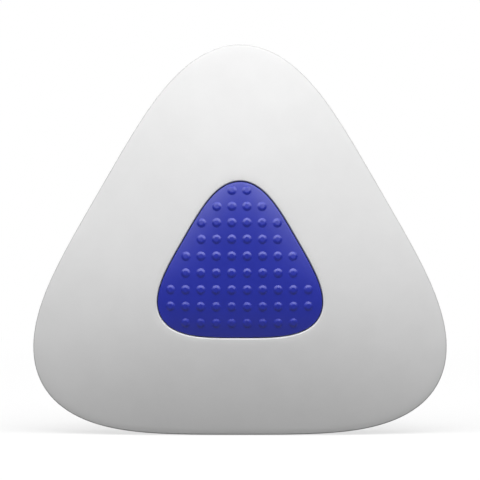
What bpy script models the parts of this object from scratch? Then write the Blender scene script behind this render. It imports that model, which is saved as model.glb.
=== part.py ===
"""Triangular eraser: a white rubber body, crowned on both faces, with a blue grip pad set into each face.

The eraser stands on one of its three flat sides. X runs across it, Y through its thickness with the front
face towards -Y, and Z up to the top corner. The origin is the middle of the flat side that it stands on.
The pieces are modelled in the face frame: x across, y towards the top corner, z out of the front face,
from the point where the three-fold axis crosses the middle plane of the body.
"""

import math

import bmesh
import bpy
from mathutils import Matrix, Vector

MM = 0.001

# Outline of the body, seen from the front
SIDE_DISTANCE = 17.59 * MM  # three-fold axis to each flat side
CORNER_REACH = 24.71 * MM  # three-fold axis to the tip of each rounded corner
FLAT_HALF_ANGLE = math.radians(13.5)  # half of the flat in the middle of each side, seen from the axis
CORNER_SHARPNESS = 0.293  # 0 makes the corners nearly round, and they grow more pointed towards 1

# Thickness of the body
BODY_THICKNESS = 14.0 * MM  # between the middles of the two faces, as if they ran on over the pockets
SIDE_THICKNESS = 7.6 * MM  # between the two faces at the middle of a side
CORNER_THICKNESS = 4.4 * MM  # between the two faces at the tip of a corner
RIM_ROUND = 0.2 * MM  # round between a face and the side wall

# Pocket for a pad in each face
POCKET_DEPTH = 2.7 * MM  # below the middle of the face, as if it ran on over the pocket
POCKET_EDGE_ROUND = 0.15 * MM

# Grip pads
PAD_SIDE_DISTANCE = 6.94 * MM  # three-fold axis to each side of a pad
PAD_CORNER_REACH = 9.65 * MM  # three-fold axis to the tip of each corner of a pad
PAD_CROWN = 0.40 * MM  # the middle of a pad rises this far over the run of the body's face
PAD_DOME_POWER = 4.0  # 2 makes an even dome, and higher powers a dome with a flatter middle
PAD_RECESS = 0.12 * MM  # the edge of a pad lies this far below the body's face
PAD_EDGE_ROUND = 0.1 * MM
PAD_GAP = 0.095 * MM  # between a pad and the wall of its pocket
SEAT_GAP = 0.15 * MM  # between a pad and the floor of its pocket

# Raised pips on the pads, in rows and columns that are even along a dome
PIP_DIAMETER = 1.02 * MM
PIP_TOP_DIAMETER = 0.5 * MM
PIP_HEIGHT = 0.126 * MM
PIP_ROOT = 0.4 * MM  # the foot of a pip reaches this far into the pad
PIP_COLUMN_PITCH = 1.649 * MM
PIP_ROW_PITCH = 1.802 * MM
PIP_DOME_RADIUS = 24.8 * MM  # of the dome that the pitches are measured along
PIP_FAN_REACH = 525.0 * MM  # above the axis, where the columns would meet
PIP_ROW_SHIFT = -0.0785 * MM  # the row nearest to the axis lies this far above it
PIP_COLUMN_SHIFT = -0.061 * MM  # the middle of the grid lies this far to the right of the axis
PIP_EDGE_MARGIN = 0.69 * MM  # least distance from the centre of a pip to the edge of its pad

# Three pegs on the front pad, pressed into three sockets on the rear pad
PEG_CIRCLE_RADIUS = 4.2 * MM
PEG_DIAMETER = 2.0 * MM
PEG_TIP_CHAMFER = 0.3 * MM
PEG_TIP_GAP = 0.5 * MM  # left under the tip of a peg
PEG_CLEARANCE = 0.15 * MM  # round a peg in its socket
PEG_ROOT = 0.6 * MM  # a peg or a socket reaches this far into its pad
SOCKET_WALL = 0.7 * MM
SOCKET_FLOOR = 0.6 * MM  # solid foot of a socket under its bore
SOCKET_END_GAP = 0.3 * MM  # a socket stops this far short of the front pad, so that the rubber is gripped
WEB_HOLE_CLEARANCE = 0.15 * MM  # round a socket in the rubber

# Colours and finish
RUBBER_COLOUR = (0.80, 0.80, 0.80)
RUBBER_ROUGHNESS = 0.75
PLASTIC_COLOUR = (0.012, 0.024, 0.41)
PLASTIC_ROUGHNESS = 0.38

# Fineness of the curves
CORNER_POINTS = 21  # round each corner of an outline, from the end of one flat to the start of the next
FACE_RINGS = 3  # between the pocket and the rim
EDGE_STEPS = 2  # round an edge
PAD_RINGS = (0.8, 0.55, 0.3)  # shares of a pad's outline
PIP_SIDES = 8
PEG_SIDES = 20
SMOOTH_ANGLE = math.radians(35)  # edges that turn further are shaded sharp

# Heights over the middle plane of the body
BODY_CROWN = BODY_THICKNESS / 2
POCKET_FLOOR = BODY_CROWN - POCKET_DEPTH
PAD_UNDERSIDE = POCKET_FLOOR + SEAT_GAP

# Fall of a face from its middle, over the square of the distance from the axis
SIDE_BEND = (BODY_THICKNESS - SIDE_THICKNESS) / 2 / SIDE_DISTANCE**2
CORNER_BEND = (BODY_THICKNESS - CORNER_THICKNESS) / 2 / CORNER_REACH**2

BORE_RADIUS = PEG_DIAMETER / 2 + PEG_CLEARANCE
SOCKET_RADIUS = BORE_RADIUS + SOCKET_WALL
WEB_HOLE_RADIUS = SOCKET_RADIUS + WEB_HOLE_CLEARANCE

UP = Vector((0, 0, 1))
THIRD_TURN = 2 * math.pi / 3
CORNER_DIRECTIONS = [math.pi / 2 + corner * THIRD_TURN for corner in range(3)]


def towards(direction, distance):
    """The point of the middle plane in a direction from the axis."""
    return distance * Vector((math.cos(direction), math.sin(direction), 0))


def outline_radius(side_distance, corner_reach, direction):
    """Distance from the axis to a triangle with round corners and a flat in the middle of each side."""
    turn = (direction - CORNER_DIRECTIONS[0] + THIRD_TURN / 2) % THIRD_TURN - THIRD_TURN / 2
    flat_end_turn = THIRD_TURN / 2 - FLAT_HALF_ANGLE
    if abs(turn) >= flat_end_turn:
        return side_distance / math.cos(THIRD_TURN / 2 - abs(turn))
    flat_end = side_distance / math.cos(FLAT_HALF_ANGLE)
    here, tip, end = (1 / (1 - CORNER_SHARPNESS * math.cos(3 * t)) for t in (turn, 0, flat_end_turn))
    return flat_end + (corner_reach - flat_end) * (here - end) / (tip - end)


def rounded_triangle(side_distance, corner_reach):
    """(point, outward direction) pairs round such a triangle. No point lies inside a flat."""
    half_span = THIRD_TURN / 2 - FLAT_HALF_ANGLE
    step = 2 * half_span / (CORNER_POINTS - 1)
    nudge = step / 10
    ring = []
    for corner in CORNER_DIRECTIONS:
        for number in range(CORNER_POINTS):
            direction = corner - half_span + number * step
            before, point, after = (
                towards(turned, outline_radius(side_distance, corner_reach, turned))
                for turned in (direction - nudge, direction, direction + nudge)
            )
            ring.append((point, (after - before).cross(UP).normalized()))
    return ring


BODY_OUTLINE = rounded_triangle(SIDE_DISTANCE, CORNER_REACH)
PAD_OUTLINE = rounded_triangle(PAD_SIDE_DISTANCE, PAD_CORNER_REACH)
POCKET_OUTLINE = [(point + outward * PAD_GAP, outward) for point, outward in PAD_OUTLINE]


def face_height(point):
    """Height of the body's front face over its middle plane. It bends more towards the sides."""
    turn = math.atan2(point.y, point.x) - CORNER_DIRECTIONS[0]
    cornerwards = (1 + math.cos(3 * turn)) / 2
    bend = SIDE_BEND + (CORNER_BEND - SIDE_BEND) * cornerwards
    return BODY_CROWN - bend * (point.x**2 + point.y**2)


def pad_height(point):
    """Height of the front pad's top over the middle plane of the body, without the pips."""
    edge = outline_radius(PAD_SIDE_DISTANCE, PAD_CORNER_REACH, math.atan2(point.y, point.x))
    share = math.hypot(point.x, point.y) / edge
    return face_height(point) - PAD_RECESS + PAD_CROWN * (1 - share**PAD_DOME_POWER)


def at_height(ring, height):
    """The points of an outline, lifted to one height."""
    return [point + UP * height for point, _ in ring]


def on_surface(points, surface):
    """The points, lifted to a surface."""
    return [Vector((point.x, point.y, surface(point))) for point in points]


def edge_round(ring, surface, radius, wall_faces):
    """Rings of the round between a wall and a surface, starting at the wall.

    wall_faces is 0 where the wall faces outwards, and pi where it faces inwards.
    """
    rings = [[] for _ in range(EDGE_STEPS + 1)]
    for point, outward in ring:
        centre = point - outward * radius * math.cos(wall_faces)
        ahead = outward * radius / 2
        drop = surface(centre - ahead) - surface(centre + ahead)
        top = math.pi / 2 - math.atan(drop / radius)
        touch = centre + outward * radius * math.cos(top)
        height = surface(touch) - radius * math.sin(top)
        for step, points in enumerate(rings):
            angle = wall_faces + (top - wall_faces) * step / EDGE_STEPS
            reach = outward * radius * math.cos(angle)
            points.append(centre + reach + UP * (height + radius * math.sin(angle)))
    return rings


def add_loft(mesh, rings):
    """Adds a closed solid through rings of equally many points, and returns its last cap."""
    loops = []
    for points in rings:
        corners = [mesh.verts.new(point) for point in points]
        loops.append([mesh.edges.new(pair) for pair in zip(corners, corners[1:] + corners[:1])])
    faces = []
    for first, second in zip(loops, loops[1:]):
        faces += bmesh.ops.bridge_loops(mesh, edges=first + second)["faces"]
    for loop in (loops[0], loops[-1]):
        faces += bmesh.ops.edgeloop_fill(mesh, edges=loop)["faces"]
    bmesh.ops.recalc_face_normals(mesh, faces=faces)
    return faces[-1]


def add_turned(mesh, place, profile, sides):
    """Adds a round solid, moved and turned to its place, from (radius, height) pairs."""
    turns = [2 * math.pi * side / sides for side in range(sides)]
    rings = []
    for radius, height in profile:
        rings.append([place @ (towards(turn, radius) + UP * height) for turn in turns])
    add_loft(mesh, rings)


def peg_mesh(profile):
    """One round solid at each of the three peg places, from (radius, height) pairs."""
    mesh = bmesh.new()
    for direction in CORNER_DIRECTIONS:
        centre = towards(direction, PEG_CIRCLE_RADIUS)
        add_turned(mesh, Matrix.Translation(centre), profile, PEG_SIDES)
    return mesh


def edge_distance(point):
    """Distance from a point to the edge of its pad, below 0 outside it."""
    edge, outward = min(PAD_OUTLINE, key=lambda place: (place[0] - point).length)
    return (edge - point).dot(outward)


def on_pad(point, reach):
    """The place of a pip on the top of a pad, square to the pad's slope within a reach of the point."""
    along, across = (
        pad_height(point + step) - pad_height(point - step)
        for step in (Vector((reach, 0, 0)), Vector((0, reach, 0)))
    )
    square = Vector((-along, -across, 2 * reach))
    turn = UP.rotation_difference(square).to_matrix().to_4x4()
    return Matrix.Translation(point + UP * pad_height(point)) @ turn


def pip_centres():
    """Centres of the pips: each point of the grid that lies far enough inside the edge of the pad."""
    columns = round(PAD_CORNER_REACH / PIP_COLUMN_PITCH)
    rows = round(PAD_CORNER_REACH / PIP_ROW_PITCH)
    shift = Vector((PIP_COLUMN_SHIFT, PIP_ROW_SHIFT, 0))
    centres = []
    for row in range(-rows, rows + 1):
        upwards = row * PIP_ROW_PITCH
        pitch = PIP_COLUMN_PITCH * (1 - upwards / PIP_FAN_REACH)
        for column in range(-columns, columns):
            arc = Vector((pitch / 2 + column * pitch, upwards, 0))
            distance = PIP_DOME_RADIUS * math.sin(arc.length / PIP_DOME_RADIUS)
            centre = arc.normalized() * distance + shift
            if edge_distance(centre) >= PIP_EDGE_MARGIN:
                centres.append(centre)
    return centres


def pip_mesh():
    """All pips of a pad, as low cones with flat tops that stand square to the pad."""
    radius = PIP_DIAMETER / 2
    pip = [(radius, -PIP_ROOT), (radius, 0), (PIP_TOP_DIAMETER / 2, PIP_HEIGHT)]
    mesh = bmesh.new()
    for centre in pip_centres():
        add_turned(mesh, on_pad(centre, radius), pip, PIP_SIDES)
    return mesh


def plain_material(name, colour, roughness):
    """A material of one colour."""
    material = bpy.data.materials.new(name)
    material.use_nodes = True
    shader = material.node_tree.nodes["Principled BSDF"]
    shader.inputs["Base Color"].default_value = (*colour, 1)
    shader.inputs["Roughness"].default_value = roughness
    shader.inputs["Metallic"].default_value = 0
    return material


def add_object(name, mesh, parent):
    """Makes an object of a mesh in progress."""
    data = bpy.data.meshes.new(name)
    mesh.to_mesh(data)
    mesh.free()
    made = bpy.data.objects.new(name, data)
    bpy.context.collection.objects.link(made)
    made.parent = parent
    return made


def add_piece(name, mesh, parent, material):
    """Makes a piece of the eraser."""
    piece = add_object(name, mesh, parent)
    piece.data.materials.append(material)
    piece.data.shade_smooth()
    piece.data.set_sharp_from_angle(angle=SMOOTH_ANGLE)
    return piece


def combine(piece, operation, name, mesh):
    """Joins a shape to a piece, or cuts it out."""
    shape = add_object(name, mesh, piece.parent)
    shape.hide_render = True
    shape.display_type = "WIRE"
    modifier = piece.modifiers.new(name, "BOOLEAN")
    modifier.operation = operation
    modifier.solver = "EXACT"
    modifier.use_self = True
    modifier.object = shape


def eraser_body(parent):
    """White rubber: two crowned faces with a pocket in each, and three holes through the web between."""
    pocket_edge = edge_round(POCKET_OUTLINE, face_height, POCKET_EDGE_ROUND, math.pi)
    rim = edge_round(BODY_OUTLINE, face_height, RIM_ROUND, 0)
    face = []
    for ring in range(1, FACE_RINGS + 1):
        share = ring / (FACE_RINGS + 1)
        points = [inner.lerp(outer, share) for inner, outer in zip(pocket_edge[-1], rim[-1])]
        face.append(on_surface(points, face_height))
    front = [at_height(POCKET_OUTLINE, POCKET_FLOOR), *pocket_edge, *face, *reversed(rim)]
    rear = [[Vector((point.x, point.y, -point.z)) for point in ring] for ring in reversed(front)]
    mesh = bmesh.new()
    add_loft(mesh, front + rear)
    material = plain_material("white_rubber", RUBBER_COLOUR, RUBBER_ROUGHNESS)
    body = add_piece("eraser_body", mesh, parent, material)
    through = [(WEB_HOLE_RADIUS, -BODY_CROWN), (WEB_HOLE_RADIUS, BODY_CROWN)]
    combine(body, "DIFFERENCE", "web_holes", peg_mesh(through))


def grip_pad(name, parent):
    """Blue plastic: a domed plate with raised pips. Its fastenings are added to it afterwards."""
    edge = edge_round(PAD_OUTLINE, pad_height, PAD_EDGE_ROUND, 0)
    crown = [on_surface([point * share for point in edge[-1]], pad_height) for share in PAD_RINGS]
    mesh = bmesh.new()
    top = add_loft(mesh, [at_height(PAD_OUTLINE, PAD_UNDERSIDE), *edge, *crown])
    middle = bmesh.ops.poke(mesh, faces=[top])["verts"][0]
    middle.co = UP * pad_height(Vector())
    material = plain_material(name + "_plastic", PLASTIC_COLOUR, PLASTIC_ROUGHNESS)
    pad = add_piece(name, mesh, parent, material)
    combine(pad, "UNION", name + "_pips", pip_mesh())
    return pad


def front_grip_pad(parent):
    """The pad that shows from the front. Its three pegs reach nearly to the floors of the rear sockets."""
    tip = -PAD_UNDERSIDE + SOCKET_FLOOR + PEG_TIP_GAP
    radius = PEG_DIAMETER / 2
    peg = [
        (radius, PAD_UNDERSIDE + PEG_ROOT),
        (radius, tip + PEG_TIP_CHAMFER),
        (radius - PEG_TIP_CHAMFER, tip),
    ]
    combine(grip_pad("front_grip_pad", parent), "UNION", "pegs", peg_mesh(peg))


def rear_grip_pad(parent):
    """The pad on the back, turned round, so that heights here are measured towards the back."""
    mouth = -PAD_UNDERSIDE + SOCKET_END_GAP
    socket = [(SOCKET_RADIUS, PAD_UNDERSIDE + PEG_ROOT), (SOCKET_RADIUS, mouth)]
    bore = [(BORE_RADIUS, PAD_UNDERSIDE - SOCKET_FLOOR), (BORE_RADIUS, mouth - SOCKET_END_GAP)]
    pad = grip_pad("rear_grip_pad", parent)
    combine(pad, "UNION", "sockets", peg_mesh(socket))
    combine(pad, "DIFFERENCE", "socket_bores", peg_mesh(bore))


def add_empty(name, parent=None):
    """An empty that carries pieces."""
    empty = bpy.data.objects.new(name, None)
    bpy.context.collection.objects.link(empty)
    empty.parent = parent
    return empty


for old in list(bpy.data.objects):
    bpy.data.objects.remove(old, do_unlink=True)

front_frame = add_empty("front_frame")
front_frame.location = (0, 0, SIDE_DISTANCE)
front_frame.rotation_euler = (math.pi / 2, 0, 0)
rear_frame = add_empty("rear_frame", front_frame)
rear_frame.rotation_euler = (0, math.pi, 0)

eraser_body(front_frame)
front_grip_pad(front_frame)
rear_grip_pad(rear_frame)
bpy.context.view_layer.update()
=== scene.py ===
import math

import bmesh
import bpy
from mathutils import Matrix, Vector


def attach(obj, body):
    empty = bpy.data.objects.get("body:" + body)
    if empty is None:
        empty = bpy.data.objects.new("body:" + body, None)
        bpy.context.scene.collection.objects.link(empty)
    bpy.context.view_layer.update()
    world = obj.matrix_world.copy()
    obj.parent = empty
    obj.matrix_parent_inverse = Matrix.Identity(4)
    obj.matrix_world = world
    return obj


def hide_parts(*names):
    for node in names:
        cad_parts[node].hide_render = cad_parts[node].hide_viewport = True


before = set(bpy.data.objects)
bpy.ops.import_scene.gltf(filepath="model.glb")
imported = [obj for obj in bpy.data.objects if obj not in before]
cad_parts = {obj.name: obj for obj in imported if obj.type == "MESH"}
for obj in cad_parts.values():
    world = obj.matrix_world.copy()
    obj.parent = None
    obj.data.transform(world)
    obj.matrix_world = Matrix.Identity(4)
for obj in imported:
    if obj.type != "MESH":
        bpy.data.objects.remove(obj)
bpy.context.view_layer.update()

# Eraser body: one piece of soft white rubber, moulded in two halves that meet in a fine ridge round the
# middle of its side wall. Both faces bulge like a lens. Each has a pocket for a grip pad, and three holes
# for the pads' fastenings run through the web between the pockets.
MM = 0.001
SIDE_DISTANCE = 17.59 * MM  # three-fold axis to each flat side
CORNER_REACH = 24.71 * MM  # three-fold axis to the tip of each rounded corner
FLAT_HALF_ANGLE = math.radians(13.5)  # half of the flat in the middle of each side, seen from the axis
CORNER_SHARPNESS = 0.293  # 0 makes the corners nearly round, and they grow more pointed towards 1
BODY_THICKNESS = 14.0 * MM  # between the middles of the two faces
SIDE_THICKNESS = 7.6 * MM  # at the middle of a side
CORNER_THICKNESS = 4.4 * MM  # at the tip of a corner
RIM_BEVEL = 0.14 * MM  # cut back from the rim on each side, for a round of about 0.2 mm
WALL_SINK = 0.02 * MM  # the wall lies this far inside the outline, and the ridge rises from it
WALL_DRAFT = 0.05 * MM  # the wall leans in by this much from the ridge to the rim, to leave the mould
RIM_SHADE_BAND = 0.12 * MM  # painted shade: the round of the rim and the wall are coloured a shade greyer than the faces, standing in for the shade along the outline
# Painted shade: the grey that the rubber's colour is multiplied by on the rim's round and the wall
RIM_PAINTED_SHADE = (0.8, 0.8, 0.8, 1)
RIDGE_SINK = 0.012 * MM  # the top of the ridge lies this far inside the outline
RIDGE_HALF_WIDTH = 0.07 * MM
POCKET_DEPTH = 2.7 * MM  # below the middle of the face, as if it ran on over the pocket
POCKET_BEVEL = 0.16 * MM  # cut back from the edge of a pocket on each side
PAD_SIDE_DISTANCE = 6.94 * MM  # three-fold axis to each side of a pad
PAD_CORNER_REACH = 9.65 * MM  # three-fold axis to the tip of each corner of a pad
PAD_GAP = 0.095 * MM  # between a pad and the wall of its pocket
PEG_CIRCLE_RADIUS = 4.2 * MM
WEB_HOLE_RADIUS = 2.0 * MM
RING_POINTS = 240
FACE_RINGS = 14
HOLE_SIDES = 32
EDGE_STEPS = 4  # round an edge
SEAM_REACH = 0.001 * MM  # the two halves join where they meet within this
BODY_SHARP_ANGLE = math.radians(50)  # edges that turn further are shaded sharp
CLOUD_DETAIL = 4.0
CLOUD_ROUGHNESS = 0.55
GRAIN_DETAIL = 2.0
GRAIN_ROUGHNESS = 0.6
NOISE_RANGE = {"From Min": 0.3, "From Max": 0.7}  # the part of a noise that spreads over the full range

BODY_CROWN = BODY_THICKNESS / 2
POCKET_FLOOR = BODY_CROWN - POCKET_DEPTH
RIM_SINK = WALL_SINK + WALL_DRAFT
# Fall of a face from its middle, over the square of the distance from the axis
SIDE_BEND = (BODY_THICKNESS - SIDE_THICKNESS) / 2 / SIDE_DISTANCE**2
CORNER_BEND = (BODY_THICKNESS - CORNER_THICKNESS) / 2 / CORNER_REACH**2
UP = Vector((0, 0, 1))
THIRD_TURN = 2 * math.pi / 3
TOP_CORNER = math.pi / 2
CORNER_DIRECTIONS = [TOP_CORNER + corner * THIRD_TURN for corner in range(3)]
NUDGE = math.radians(0.3)  # either way along an outline, to find how it runs there
# The pieces are modelled lying down, with the front face up, and stood up at the end
STAND_UP = Matrix.Translation((0, 0, SIDE_DISTANCE)) @ Matrix.Rotation(math.pi / 2, 4, "X")


def towards(direction, distance):
    """The point of the middle plane in a direction from the axis."""
    return distance * Vector((math.cos(direction), math.sin(direction), 0))


def outline_radius(side_distance, corner_reach, direction):
    """Distance from the axis to a triangle with round corners and a flat in the middle of each side."""
    turn = (direction - TOP_CORNER + THIRD_TURN / 2) % THIRD_TURN - THIRD_TURN / 2
    flat_end_turn = THIRD_TURN / 2 - FLAT_HALF_ANGLE
    if abs(turn) >= flat_end_turn:
        return side_distance / math.cos(THIRD_TURN / 2 - abs(turn))
    flat_end = side_distance / math.cos(FLAT_HALF_ANGLE)
    here, tip, end = (1 / (1 - CORNER_SHARPNESS * math.cos(3 * t)) for t in (turn, 0, flat_end_turn))
    return flat_end + (corner_reach - flat_end) * (here - end) / (tip - end)


def outline_point(side_distance, corner_reach, direction, grown):
    """A point of such a triangle, moved outwards square to the outline."""
    before, point, after = (
        towards(turned, outline_radius(side_distance, corner_reach, turned))
        for turned in (direction - NUDGE, direction, direction + NUDGE)
    )
    return point + (after - before).cross(UP).normalized() * grown


def body_outline(direction, sink):
    return outline_point(SIDE_DISTANCE, CORNER_REACH, direction, -sink)


def pocket_outline(direction):
    return outline_point(PAD_SIDE_DISTANCE, PAD_CORNER_REACH, direction, PAD_GAP)


def face_height(point):
    """Height of the body's front face over the middle plane. It bends more towards the sides."""
    turn = math.atan2(point.y, point.x) - TOP_CORNER
    cornerwards = (1 + math.cos(3 * turn)) / 2
    bend = SIDE_BEND + (CORNER_BEND - SIDE_BEND) * cornerwards
    return BODY_CROWN - bend * (point.x**2 + point.y**2)


def add_ring(mesh, place):
    """A ring of edges, drawn out from a circle to the place of each direction."""
    ring = bmesh.ops.create_circle(mesh, segments=RING_POINTS, radius=1)["verts"]
    for vert in ring:
        vert.co = place(math.atan2(vert.co.y, vert.co.x))
    return ring_edges(mesh, ring)


def ring_edges(mesh, ring):
    return [mesh.edges.get(pair) for pair in zip(ring, ring[1:] + ring[:1])]


def add_skin(mesh, places):
    """Rings of edges, each bridged to the next."""
    rings = [add_ring(mesh, place) for place in places]
    for first, second in zip(rings, rings[1:]):
        bmesh.ops.bridge_loops(mesh, edges=first + second)
    return rings


def round_edges(mesh, edges, cut_back):
    bmesh.ops.bevel(
        mesh, geom=edges, offset=cut_back, offset_type="OFFSET", affect="EDGES", segments=EDGE_STEPS,
        profile=0.5, material=-1, clamp_overlap=False, loop_slide=True,
    )


def face_ring(share):
    """A ring on the front face, from 0 at the pocket to 1 at the rim."""

    def place(direction):
        point = pocket_outline(direction).lerp(body_outline(direction, RIM_SINK), share)
        return point + UP * face_height(point)

    return place


def add_object(name, mesh):
    data = bpy.data.meshes.new(name)
    mesh.to_mesh(data)
    mesh.free()
    made = bpy.data.objects.new(name, data)
    bpy.context.collection.objects.link(made)
    return made


def smooth(piece, sharp_angle):
    piece.data.shade_smooth()
    piece.data.set_sharp_from_angle(angle=sharp_angle)


body_mesh = bmesh.new()
body_places = [lambda direction: pocket_outline(direction) + UP * POCKET_FLOOR]
body_places += [face_ring(ring / FACE_RINGS) for ring in range(FACE_RINGS + 1)]
body_places += [
    lambda direction: body_outline(direction, WALL_SINK) + UP * RIDGE_HALF_WIDTH,
    lambda direction: body_outline(direction, RIDGE_SINK),
]
body_rings = add_skin(body_mesh, body_places)
floor_edges = list(body_rings[0])
for corner in CORNER_DIRECTIONS:
    centre = towards(corner, PEG_CIRCLE_RADIUS) + UP * POCKET_FLOOR
    hole = bmesh.ops.create_circle(
        body_mesh, segments=HOLE_SIDES, radius=WEB_HOLE_RADIUS, matrix=Matrix.Translation(centre)
    )["verts"]
    hole_edges = ring_edges(body_mesh, hole)
    floor_edges += hole_edges
    hole_wall = bmesh.ops.extrude_edge_only(body_mesh, edges=hole_edges)["geom"]
    for item in hole_wall:
        if isinstance(item, bmesh.types.BMVert):
            item.co.z = 0
bmesh.ops.triangle_fill(body_mesh, edges=floor_edges, use_beauty=True, normal=UP)
round_edges(body_mesh, body_rings[1], POCKET_BEVEL)
round_edges(body_mesh, body_rings[FACE_RINGS + 1], RIM_BEVEL)
# Painted shade: a mask of the rim's round and the wall, where the rubber's colour is darkened to stand in
# for shade
rim_shade_share = body_mesh.verts.layers.float.new("rim")
for vert in body_mesh.verts:
    rim_reach = body_outline(math.atan2(vert.co.y, vert.co.x), RIM_SINK).length
    vert[rim_shade_share] = float(rim_reach - math.hypot(vert.co.x, vert.co.y) < RIM_SHADE_BAND)
front_half = body_mesh.verts[:] + body_mesh.edges[:] + body_mesh.faces[:]
bmesh.ops.mirror(body_mesh, geom=front_half, axis="Z", merge_dist=SEAM_REACH)
bmesh.ops.recalc_face_normals(body_mesh, faces=body_mesh.faces[:])
body_mesh.transform(STAND_UP)
eraser_body = add_object("eraser_body_rubber", body_mesh)
smooth(eraser_body, BODY_SHARP_ANGLE)


def add_node(tree, kind, inputs=(), **settings):
    """A node with some of its settings and unlinked inputs filled in."""
    node = tree.nodes.new(kind)
    for name, value in settings.items():
        setattr(node, name, value)
    for name, value in dict(inputs).items():
        node.inputs[name].default_value = value
    return node


def moulded_skin_group():
    """A moulded surface: cloudy tone and gloss, and the fine grain of the mould."""
    group = bpy.data.node_groups.new("moulded_skin", "ShaderNodeTree")
    for name, kind in (
        ("Deep Colour", "NodeSocketColor"),
        ("Pale Colour", "NodeSocketColor"),
        ("Cloud Scale", "NodeSocketFloat"),
        ("Low Roughness", "NodeSocketFloat"),
        ("High Roughness", "NodeSocketFloat"),
        ("Grain Scale", "NodeSocketFloat"),
    ):
        group.interface.new_socket(name, in_out="INPUT", socket_type=kind)
    for name, kind in (
        ("Colour", "NodeSocketColor"),
        ("Roughness", "NodeSocketFloat"),
        ("Grain", "NodeSocketFloat"),
    ):
        group.interface.new_socket(name, in_out="OUTPUT", socket_type=kind)
    given = group.nodes.new("NodeGroupInput")
    result = group.nodes.new("NodeGroupOutput")
    position = add_node(group, "ShaderNodeTexCoord")
    clouds = add_node(group, "ShaderNodeTexNoise", {"Detail": CLOUD_DETAIL, "Roughness": CLOUD_ROUGHNESS})
    cloud_range = add_node(group, "ShaderNodeMapRange", NOISE_RANGE)
    tone = add_node(group, "ShaderNodeMix", data_type="RGBA")
    gloss = add_node(group, "ShaderNodeMapRange", NOISE_RANGE)
    grain = add_node(group, "ShaderNodeTexNoise", {"Detail": GRAIN_DETAIL, "Roughness": GRAIN_ROUGHNESS})
    link = group.links.new
    link(position.outputs["Object"], clouds.inputs["Vector"])
    link(position.outputs["Object"], grain.inputs["Vector"])
    link(given.outputs["Cloud Scale"], clouds.inputs["Scale"])
    link(given.outputs["Grain Scale"], grain.inputs["Scale"])
    link(clouds.outputs["Fac"], cloud_range.inputs["Value"])
    link(cloud_range.outputs["Result"], tone.inputs["Factor"])
    link(given.outputs["Deep Colour"], tone.inputs["A"])
    link(given.outputs["Pale Colour"], tone.inputs["B"])
    link(grain.outputs["Fac"], gloss.inputs["Value"])
    link(given.outputs["Low Roughness"], gloss.inputs["To Min"])
    link(given.outputs["High Roughness"], gloss.inputs["To Max"])
    link(tone.outputs["Result"], result.inputs["Colour"])
    link(gloss.outputs["Result"], result.inputs["Roughness"])
    link(grain.outputs["Fac"], result.inputs["Grain"])
    return group


MOULDED_SKIN = moulded_skin_group()


def moulded_material(name, skin, grain_depth, shader_inputs):
    """A Principled material over the moulded skin."""
    material = bpy.data.materials.new(name)
    material.use_nodes = True
    tree = material.node_tree
    shader = tree.nodes["Principled BSDF"]
    for socket, value in shader_inputs.items():
        shader.inputs[socket].default_value = value
    surface = add_node(tree, "ShaderNodeGroup", node_tree=MOULDED_SKIN)
    for socket, value in skin.items():
        surface.inputs[socket].default_value = value
    bump = add_node(tree, "ShaderNodeBump", {"Strength": 1.0, "Distance": grain_depth})
    tree.links.new(surface.outputs["Colour"], shader.inputs["Base Color"])
    tree.links.new(surface.outputs["Roughness"], shader.inputs["Roughness"])
    tree.links.new(surface.outputs["Grain"], bump.inputs["Height"])
    tree.links.new(bump.outputs["Normal"], shader.inputs["Normal"])
    return material


white_rubber = moulded_material(
    "white_rubber",
    {
        "Deep Colour": (0.789, 0.789, 0.789, 1),
        "Pale Colour": (0.811, 0.811, 0.811, 1),
        "Cloud Scale": 320.0,
        "Low Roughness": 0.7,
        "High Roughness": 0.8,
        "Grain Scale": 6500.0,
    },
    grain_depth=0.002 * MM,
    shader_inputs={"IOR": 1.5, "Specular IOR Level": 0.35},
)
rubber_tree = white_rubber.node_tree
rubber_colour = rubber_tree.nodes["Principled BSDF"].inputs["Base Color"]
# Painted shade: on the rim's round and the wall the rubber's colour is multiplied by a grey, standing in
# for the shade along the outline
rim = add_node(rubber_tree, "ShaderNodeAttribute", attribute_name="rim")
rim_painted_shade = add_node(rubber_tree, "ShaderNodeMix", {"B": RIM_PAINTED_SHADE}, data_type="RGBA", blend_type="MULTIPLY")
rubber_tree.links.new(rim.outputs["Fac"], rim_painted_shade.inputs["Factor"])
rubber_tree.links.new(rubber_colour.links[0].from_socket, rim_painted_shade.inputs["A"])
rubber_tree.links.new(rim_painted_shade.outputs["Result"], rubber_colour)
eraser_body.data.materials.append(white_rubber)
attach(eraser_body, "root")
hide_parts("eraser_body")

# Grip pads: two domed plates of satin blue plastic, moulded with rows of raised pips for the thumb and the
# finger. Three pegs behind the front pad are pressed into three sockets behind the rear pad, so that the
# pads clamp the rubber between them.
PAD_CROWN = 0.40 * MM  # the middle of a pad rises this far over the run of the body's face
PAD_DOME_POWER = 4.0  # 2 makes an even dome, and higher powers a dome with a flatter middle
PAD_RECESS = 0.12 * MM  # the edge of a pad lies this far below the body's face
PAD_BEVEL = 0.07 * MM  # cut back from the edge of a pad on each side
SEAT_GAP = 0.15 * MM  # between a pad and the floor of its pocket
PAD_RINGS = 30
PAD_SHARP_ANGLE = math.radians(25)
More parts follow.
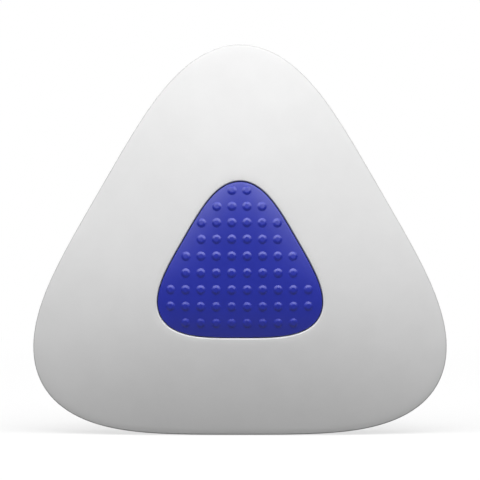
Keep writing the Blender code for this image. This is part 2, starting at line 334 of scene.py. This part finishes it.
# (radius, height) pairs in mm, from the root of a pip inside the pad to its top
PIP_PROFILE = (
    (0.51, -0.4), (0.51, 0.0), (0.45, 0.03), (0.37, 0.073),
    (0.31, 0.105), (0.27, 0.12), (0.23, 0.126), (0.14, 0.126),
)
PIP_RADIUS = PIP_PROFILE[0][0] * MM
PIP_SIDES = 24
PIP_COLUMN_PITCH = 1.649 * MM
PIP_ROW_PITCH = 1.802 * MM
PIP_DOME_RADIUS = 24.8 * MM  # of the dome that the pitches are measured along
PIP_FAN_REACH = 525.0 * MM  # above the axis, where the columns of pips would meet
PIP_SHIFT = Vector((-0.061, -0.0785, 0)) * MM  # of the whole grid, from the axis
PIP_EDGE_MARGIN = 0.69 * MM  # least distance from the centre of a pip to the edge of its pad
PEG_SIDES = 32
PEG_RADIUS = 1.0 * MM
PEG_TIP_CHAMFER = 0.3 * MM
PEG_TIP_GAP = 0.5 * MM  # left under the tip of a peg
PEG_ROOT = 0.6 * MM  # a peg or a socket reaches this far into its pad
BORE_RADIUS = 1.15 * MM
SOCKET_RADIUS = 1.85 * MM
SOCKET_FLOOR = 0.6 * MM  # solid foot of a socket under its bore
SOCKET_END_GAP = 0.3 * MM  # a socket stops this far short of the front pad, so that the rubber is gripped
PAD_UNDERSIDE = POCKET_FLOOR + SEAT_GAP
TURN_ROUND = Matrix.Rotation(math.pi, 4, "Y")


def pad_outline(direction):
    return outline_point(PAD_SIDE_DISTANCE, PAD_CORNER_REACH, direction, 0)


def pad_height(point):
    """Height of the front pad's top over the middle plane, without the pips."""
    edge = outline_radius(PAD_SIDE_DISTANCE, PAD_CORNER_REACH, math.atan2(point.y, point.x))
    share = math.hypot(point.x, point.y) / edge
    return face_height(point) - PAD_RECESS + PAD_CROWN * (1 - share**PAD_DOME_POWER)


def on_pad(point):
    """The place of a pip on the pad's top, square to the pad under it."""
    along, across = (
        pad_height(point + step) - pad_height(point - step)
        for step in (Vector((PIP_RADIUS, 0, 0)), Vector((0, PIP_RADIUS, 0)))
    )
    square = Vector((-along, -across, 2 * PIP_RADIUS))
    turn = UP.rotation_difference(square).to_matrix().to_4x4()
    return Matrix.Translation(point + UP * pad_height(point)) @ turn


def pad_ring(share):
    """A ring on the pad's top, from 1 at its edge to 0 in the middle."""

    def place(direction):
        point = pad_outline(direction) * share
        return point + UP * pad_height(point)

    return place


def turned_mesh(profile, sides):
    """A closed solid turned about the Z axis, from (radius, height) pairs."""
    mesh = bmesh.new()
    line = [mesh.verts.new((radius, 0, height)) for radius, height in profile]
    edges = [mesh.edges.new(pair) for pair in zip(line, line[1:])]
    bmesh.ops.spin(mesh, geom=line + edges, axis=UP, angle=2 * math.pi, steps=sides, use_merge=True)
    bmesh.ops.holes_fill(mesh, edges=mesh.edges[:], sides=sides)
    bmesh.ops.recalc_face_normals(mesh, faces=mesh.faces[:])
    return mesh


def copies(pattern, places):
    """One mesh with a copy of the pattern, moved and turned to each place."""
    data = bpy.data.meshes.new("pattern")
    pattern.to_mesh(data)
    pattern.free()
    mesh = bmesh.new()
    for place in places:
        known = len(mesh.verts)
        mesh.from_mesh(data)
        mesh.verts.ensure_lookup_table()
        bmesh.ops.transform(mesh, verts=mesh.verts[known:], matrix=place)
    bpy.data.meshes.remove(data)
    return mesh


def combine(piece, operation, mesh):
    """Joins a shape to a piece for good, or cuts it out."""
    shape = add_object("shape", mesh)
    modifier = piece.modifiers.new("combine", "BOOLEAN")
    modifier.operation = operation
    modifier.solver = "EXACT"
    modifier.object = shape
    graph = bpy.context.evaluated_depsgraph_get()
    combined = bpy.data.meshes.new_from_object(piece.evaluated_get(graph))
    piece.modifiers.clear()
    piece.data = combined
    bpy.data.objects.remove(shape)


def at_pegs(profile):
    """One round solid at each of the three peg places, from (radius, height) pairs."""
    places = [Matrix.Translation(towards(corner, PEG_CIRCLE_RADIUS)) for corner in CORNER_DIRECTIONS]
    return copies(turned_mesh(profile, PEG_SIDES), places)


PAD_EDGE = [pad_outline(math.radians(degree)) for degree in range(360)]


def edge_distance(point):
    return min((edge - point).length for edge in PAD_EDGE)


def pip_places():
    """Places of the pips: rows and columns that are even along a dome, kept inside the pad's edge."""
    columns = round(PAD_CORNER_REACH / PIP_COLUMN_PITCH)
    rows = round(PAD_CORNER_REACH / PIP_ROW_PITCH)
    places = []
    for row in range(-rows, rows + 1):
        upwards = row * PIP_ROW_PITCH
        pitch = PIP_COLUMN_PITCH * (1 - upwards / PIP_FAN_REACH)
        for column in range(-columns, columns):
            arc = Vector((pitch / 2 + column * pitch, upwards, 0))
            distance = PIP_DOME_RADIUS * math.sin(arc.length / PIP_DOME_RADIUS)
            centre = arc.normalized() * distance + PIP_SHIFT
            reach = outline_radius(PAD_SIDE_DISTANCE, PAD_CORNER_REACH, math.atan2(centre.y, centre.x))
            if centre.length < reach and edge_distance(centre) >= PIP_EDGE_MARGIN:
                places.append(on_pad(centre))
    return places


def grip_pad(name):
    """A domed plate with raised pips. Its fastenings are joined to it afterwards."""
    mesh = bmesh.new()
    places = [lambda direction: pad_outline(direction) + UP * PAD_UNDERSIDE]
    places += [pad_ring(1 - ring / PAD_RINGS) for ring in range(PAD_RINGS)]
    rings = add_skin(mesh, places)
    bmesh.ops.edgeloop_fill(mesh, edges=rings[0])
    top = bmesh.ops.edgeloop_fill(mesh, edges=rings[-1])["faces"]
    peak = bmesh.ops.poke(mesh, faces=top)["verts"][0]
    peak.co = UP * pad_height(Vector((0, 0, 0)))
    round_edges(mesh, rings[1], PAD_BEVEL)
    bmesh.ops.recalc_face_normals(mesh, faces=mesh.faces[:])
    pad = add_object(name, mesh)
    pip = [(radius * MM, height * MM) for radius, height in PIP_PROFILE]
    combine(pad, "UNION", copies(turned_mesh(pip, PIP_SIDES), pip_places()))
    return pad


front_pad = grip_pad("front_grip_pad_plastic")
peg_tip = -PAD_UNDERSIDE + SOCKET_FLOOR + PEG_TIP_GAP
combine(front_pad, "UNION", at_pegs((
    (PEG_RADIUS, PAD_UNDERSIDE + PEG_ROOT),
    (PEG_RADIUS, peg_tip + PEG_TIP_CHAMFER),
    (PEG_RADIUS - PEG_TIP_CHAMFER, peg_tip),
)))
front_pad.data.transform(STAND_UP)

rear_pad = grip_pad("rear_grip_pad_plastic")
socket_mouth = -PAD_UNDERSIDE + SOCKET_END_GAP
combine(rear_pad, "UNION", at_pegs((
    (SOCKET_RADIUS, PAD_UNDERSIDE + PEG_ROOT),
    (SOCKET_RADIUS, socket_mouth),
)))
combine(rear_pad, "DIFFERENCE", at_pegs((
    (BORE_RADIUS, PAD_UNDERSIDE - SOCKET_FLOOR),
    (BORE_RADIUS, socket_mouth - SOCKET_END_GAP),
)))
rear_pad.data.transform(STAND_UP @ TURN_ROUND)

blue_plastic = moulded_material(
    "blue_plastic",
    {
        "Deep Colour": (0.0110, 0.0225, 0.395, 1),
        "Pale Colour": (0.0130, 0.0255, 0.425, 1),
        "Cloud Scale": 500.0,
        "Low Roughness": 0.34,
        "High Roughness": 0.42,
        "Grain Scale": 9000.0,
    },
    grain_depth=0.001 * MM,
    shader_inputs={"IOR": 1.5, "Specular IOR Level": 0.78},
)
for pad, node in ((front_pad, "front_grip_pad"), (rear_pad, "rear_grip_pad")):
    smooth(pad, PAD_SHARP_ANGLE)
    pad.data.materials.append(blue_plastic)
    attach(pad, "root")
    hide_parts(node)

# Studio: a white floor, a soft lamp above the eraser on either side in front, a soft sky over the front,
# and a lamp straight behind for the back. The floor and the world look white to the camera, and the
# eraser's shadow stays on the floor.
CAMERA_DISTANCE = 261.0 * MM  # from the middle plane of the body
CAMERA_LENS = 179.2  # in mm, like the sensor
SENSOR_WIDTH = 36.0
CAMERA_RISE = 3.445 * MM  # above the three-fold axis, level with the middle of the eraser's height
LAMP_DISTANCE = 0.6
LAMP_ELEVATION = math.radians(49)
LAMP_AZIMUTH = math.radians(44)
LAMP_SIZE = 0.6
LEFT_POWER = 2.67
RIGHT_POWER = 2.92
BACK_DISTANCE = 0.6
BACK_SIZE = 0.35
BACK_POWER = 4.2
SKY_LOW = 0.02  # brightness all round
SKY_TOP = 1.52  # brightness that the front adds, growing with the height to the power below
SKY_POWER = 2.0
SKY_FRONT = 0.6  # the front fades in from 0 overhead to directions that lean forward by this share
FLOOR_BOUNCE = (0.13, 0.13, 0.13, 1)  # as the floor lights the eraser
FLOOR_PAINT = (0.9, 0.9, 0.9, 1)  # as the camera sees it, where the shadow falls
FLOOR_RADIUS = 4.0
FLOOR_SIDES = 64
WHITE_FLOOR_NEAR = 0.72  # share of plain white in the floor under the eraser
WHITE_FLOOR_START = 0.06  # from here on the share grows
WHITE_FLOOR_END = 0.25  # from here on the floor is all white
FLOOR_GLOSS = 0.3  # share of its white that the floor near the eraser shows in the eraser's gloss
FLOOR_GLOSS_START = 0.02  # from here on that share falls
FLOOR_GLOSS_END = 0.09  # from here on it is 0

middle = Vector((0, 0, SIDE_DISTANCE))


def add_lamp(name, place, size, power):
    """A square lamp that faces the eraser."""
    lamp = bpy.data.lights.new(name, "AREA")
    lamp.shape = "SQUARE"
    lamp.size = size
    lamp.energy = power
    made = bpy.data.objects.new(name, lamp)
    made.location = place
    made.rotation_euler = (middle - place).to_track_quat("-Z", "Y").to_euler()
    made.visible_camera = False
    bpy.context.collection.objects.link(made)


for name, side, power in (("left_lamp", -1, LEFT_POWER), ("right_lamp", 1, RIGHT_POWER)):
    ahead = Vector((side * math.sin(LAMP_AZIMUTH), -math.cos(LAMP_AZIMUTH), math.tan(LAMP_ELEVATION)))
    add_lamp(name, middle + LAMP_DISTANCE * ahead.normalized(), LAMP_SIZE, power)
add_lamp("back_lamp", middle + Vector((0, BACK_DISTANCE, 0)), BACK_SIZE, BACK_POWER)


def add_seen(tree):
    """A factor of 1 where the camera sees a surface, and 0 where that surface lights others."""
    path = add_node(tree, "ShaderNodeLightPath")
    straight = add_node(tree, "ShaderNodeMath", operation="MAXIMUM")
    tree.links.new(path.outputs["Is Camera Ray"], straight.inputs[0])
    tree.links.new(path.outputs["Is Transmission Ray"], straight.inputs[1])
    return straight


world = bpy.data.worlds.new("studio")
bpy.context.scene.world = world
world.use_nodes = True
world_tree = world.node_tree
backdrop = world_tree.nodes["Background"]
world_seen = add_seen(world_tree)
ray = add_node(world_tree, "ShaderNodeTexCoord")
ray_parts = add_node(world_tree, "ShaderNodeSeparateXYZ")
above = add_node(world_tree, "ShaderNodeMath", {1: 0.0}, operation="MAXIMUM")
rise = add_node(world_tree, "ShaderNodeMath", {1: SKY_POWER}, operation="POWER")
frontwards = add_node(
    world_tree, "ShaderNodeMapRange",
    {"From Min": -SKY_FRONT, "From Max": 0.0, "To Min": SKY_TOP, "To Max": 0.0},
    interpolation_type="SMOOTHSTEP",
)
sky = add_node(world_tree, "ShaderNodeMath", {2: SKY_LOW}, operation="MULTIPLY_ADD")
sky_or_white = add_node(world_tree, "ShaderNodeMix", {"B": 1.0}, data_type="FLOAT")
link_world = world_tree.links.new
link_world(ray.outputs["Generated"], ray_parts.inputs["Vector"])
link_world(ray_parts.outputs["Z"], above.inputs[0])
link_world(above.outputs[0], rise.inputs[0])
link_world(ray_parts.outputs["Y"], frontwards.inputs["Value"])
link_world(rise.outputs[0], sky.inputs[0])
link_world(frontwards.outputs["Result"], sky.inputs[1])
link_world(sky.outputs[0], sky_or_white.inputs["A"])
link_world(world_seen.outputs[0], sky_or_white.inputs["Factor"])
link_world(sky_or_white.outputs["Result"], backdrop.inputs["Color"])

floor_mesh = bmesh.new()
bmesh.ops.create_circle(floor_mesh, cap_ends=True, segments=FLOOR_SIDES, radius=FLOOR_RADIUS)
studio_floor = add_object("studio_floor", floor_mesh)
floor_paint = bpy.data.materials.new("floor_paint")
floor_paint.use_nodes = True
floor_tree = floor_paint.node_tree
floor_tree.nodes.clear()
floor_output = add_node(floor_tree, "ShaderNodeOutputMaterial")
bounce = add_node(floor_tree, "ShaderNodeBsdfDiffuse", {"Color": FLOOR_BOUNCE})
paint = add_node(floor_tree, "ShaderNodeBsdfDiffuse", {"Color": FLOOR_PAINT})
glow = add_node(floor_tree, "ShaderNodeEmission", {"Color": (1, 1, 1, 1), "Strength": 1.0})
floor_position = add_node(floor_tree, "ShaderNodeTexCoord")
floor_distance = add_node(floor_tree, "ShaderNodeVectorMath", operation="LENGTH")
whiteness = add_node(
    floor_tree, "ShaderNodeMapRange",
    {"From Min": WHITE_FLOOR_START, "From Max": WHITE_FLOOR_END, "To Min": WHITE_FLOOR_NEAR, "To Max": 1.0},
    interpolation_type="SMOOTHSTEP",
)
gloss_share = add_node(
    floor_tree, "ShaderNodeMapRange",
    {"From Min": FLOOR_GLOSS_START, "From Max": FLOOR_GLOSS_END, "To Min": FLOOR_GLOSS, "To Max": 0.0},
    interpolation_type="SMOOTHSTEP",
)
light_path = add_node(floor_tree, "ShaderNodeLightPath")
mirrored = add_node(floor_tree, "ShaderNodeMath", operation="MULTIPLY")
floor_seen = add_seen(floor_tree)
seen_or_mirrored = add_node(floor_tree, "ShaderNodeMath", operation="MAXIMUM")
floor_look = add_node(floor_tree, "ShaderNodeMixShader")
bounce_or_look = add_node(floor_tree, "ShaderNodeMixShader")
link_floor = floor_tree.links.new
link_floor(floor_position.outputs["Object"], floor_distance.inputs[0])
link_floor(floor_distance.outputs["Value"], whiteness.inputs["Value"])
link_floor(whiteness.outputs["Result"], floor_look.inputs["Fac"])
link_floor(paint.outputs[0], floor_look.inputs[1])
link_floor(glow.outputs[0], floor_look.inputs[2])
link_floor(floor_distance.outputs["Value"], gloss_share.inputs["Value"])
link_floor(light_path.outputs["Is Glossy Ray"], mirrored.inputs[0])
link_floor(gloss_share.outputs["Result"], mirrored.inputs[1])
link_floor(floor_seen.outputs[0], seen_or_mirrored.inputs[0])
link_floor(mirrored.outputs[0], seen_or_mirrored.inputs[1])
link_floor(seen_or_mirrored.outputs[0], bounce_or_look.inputs["Fac"])
link_floor(bounce.outputs[0], bounce_or_look.inputs[1])
link_floor(floor_look.outputs[0], bounce_or_look.inputs[2])
link_floor(bounce_or_look.outputs[0], floor_output.inputs["Surface"])
studio_floor.data.materials.append(floor_paint)

camera = bpy.data.cameras.new("camera")
camera.sensor_width = SENSOR_WIDTH
camera.lens = CAMERA_LENS
camera_object = bpy.data.objects.new("camera", camera)
camera_object.location = middle + Vector((0, -CAMERA_DISTANCE, CAMERA_RISE))
camera_object.rotation_euler = (math.pi / 2, 0, 0)
bpy.context.collection.objects.link(camera_object)
bpy.context.scene.camera = camera_object
bpy.context.scene.view_settings.view_transform = "Standard"
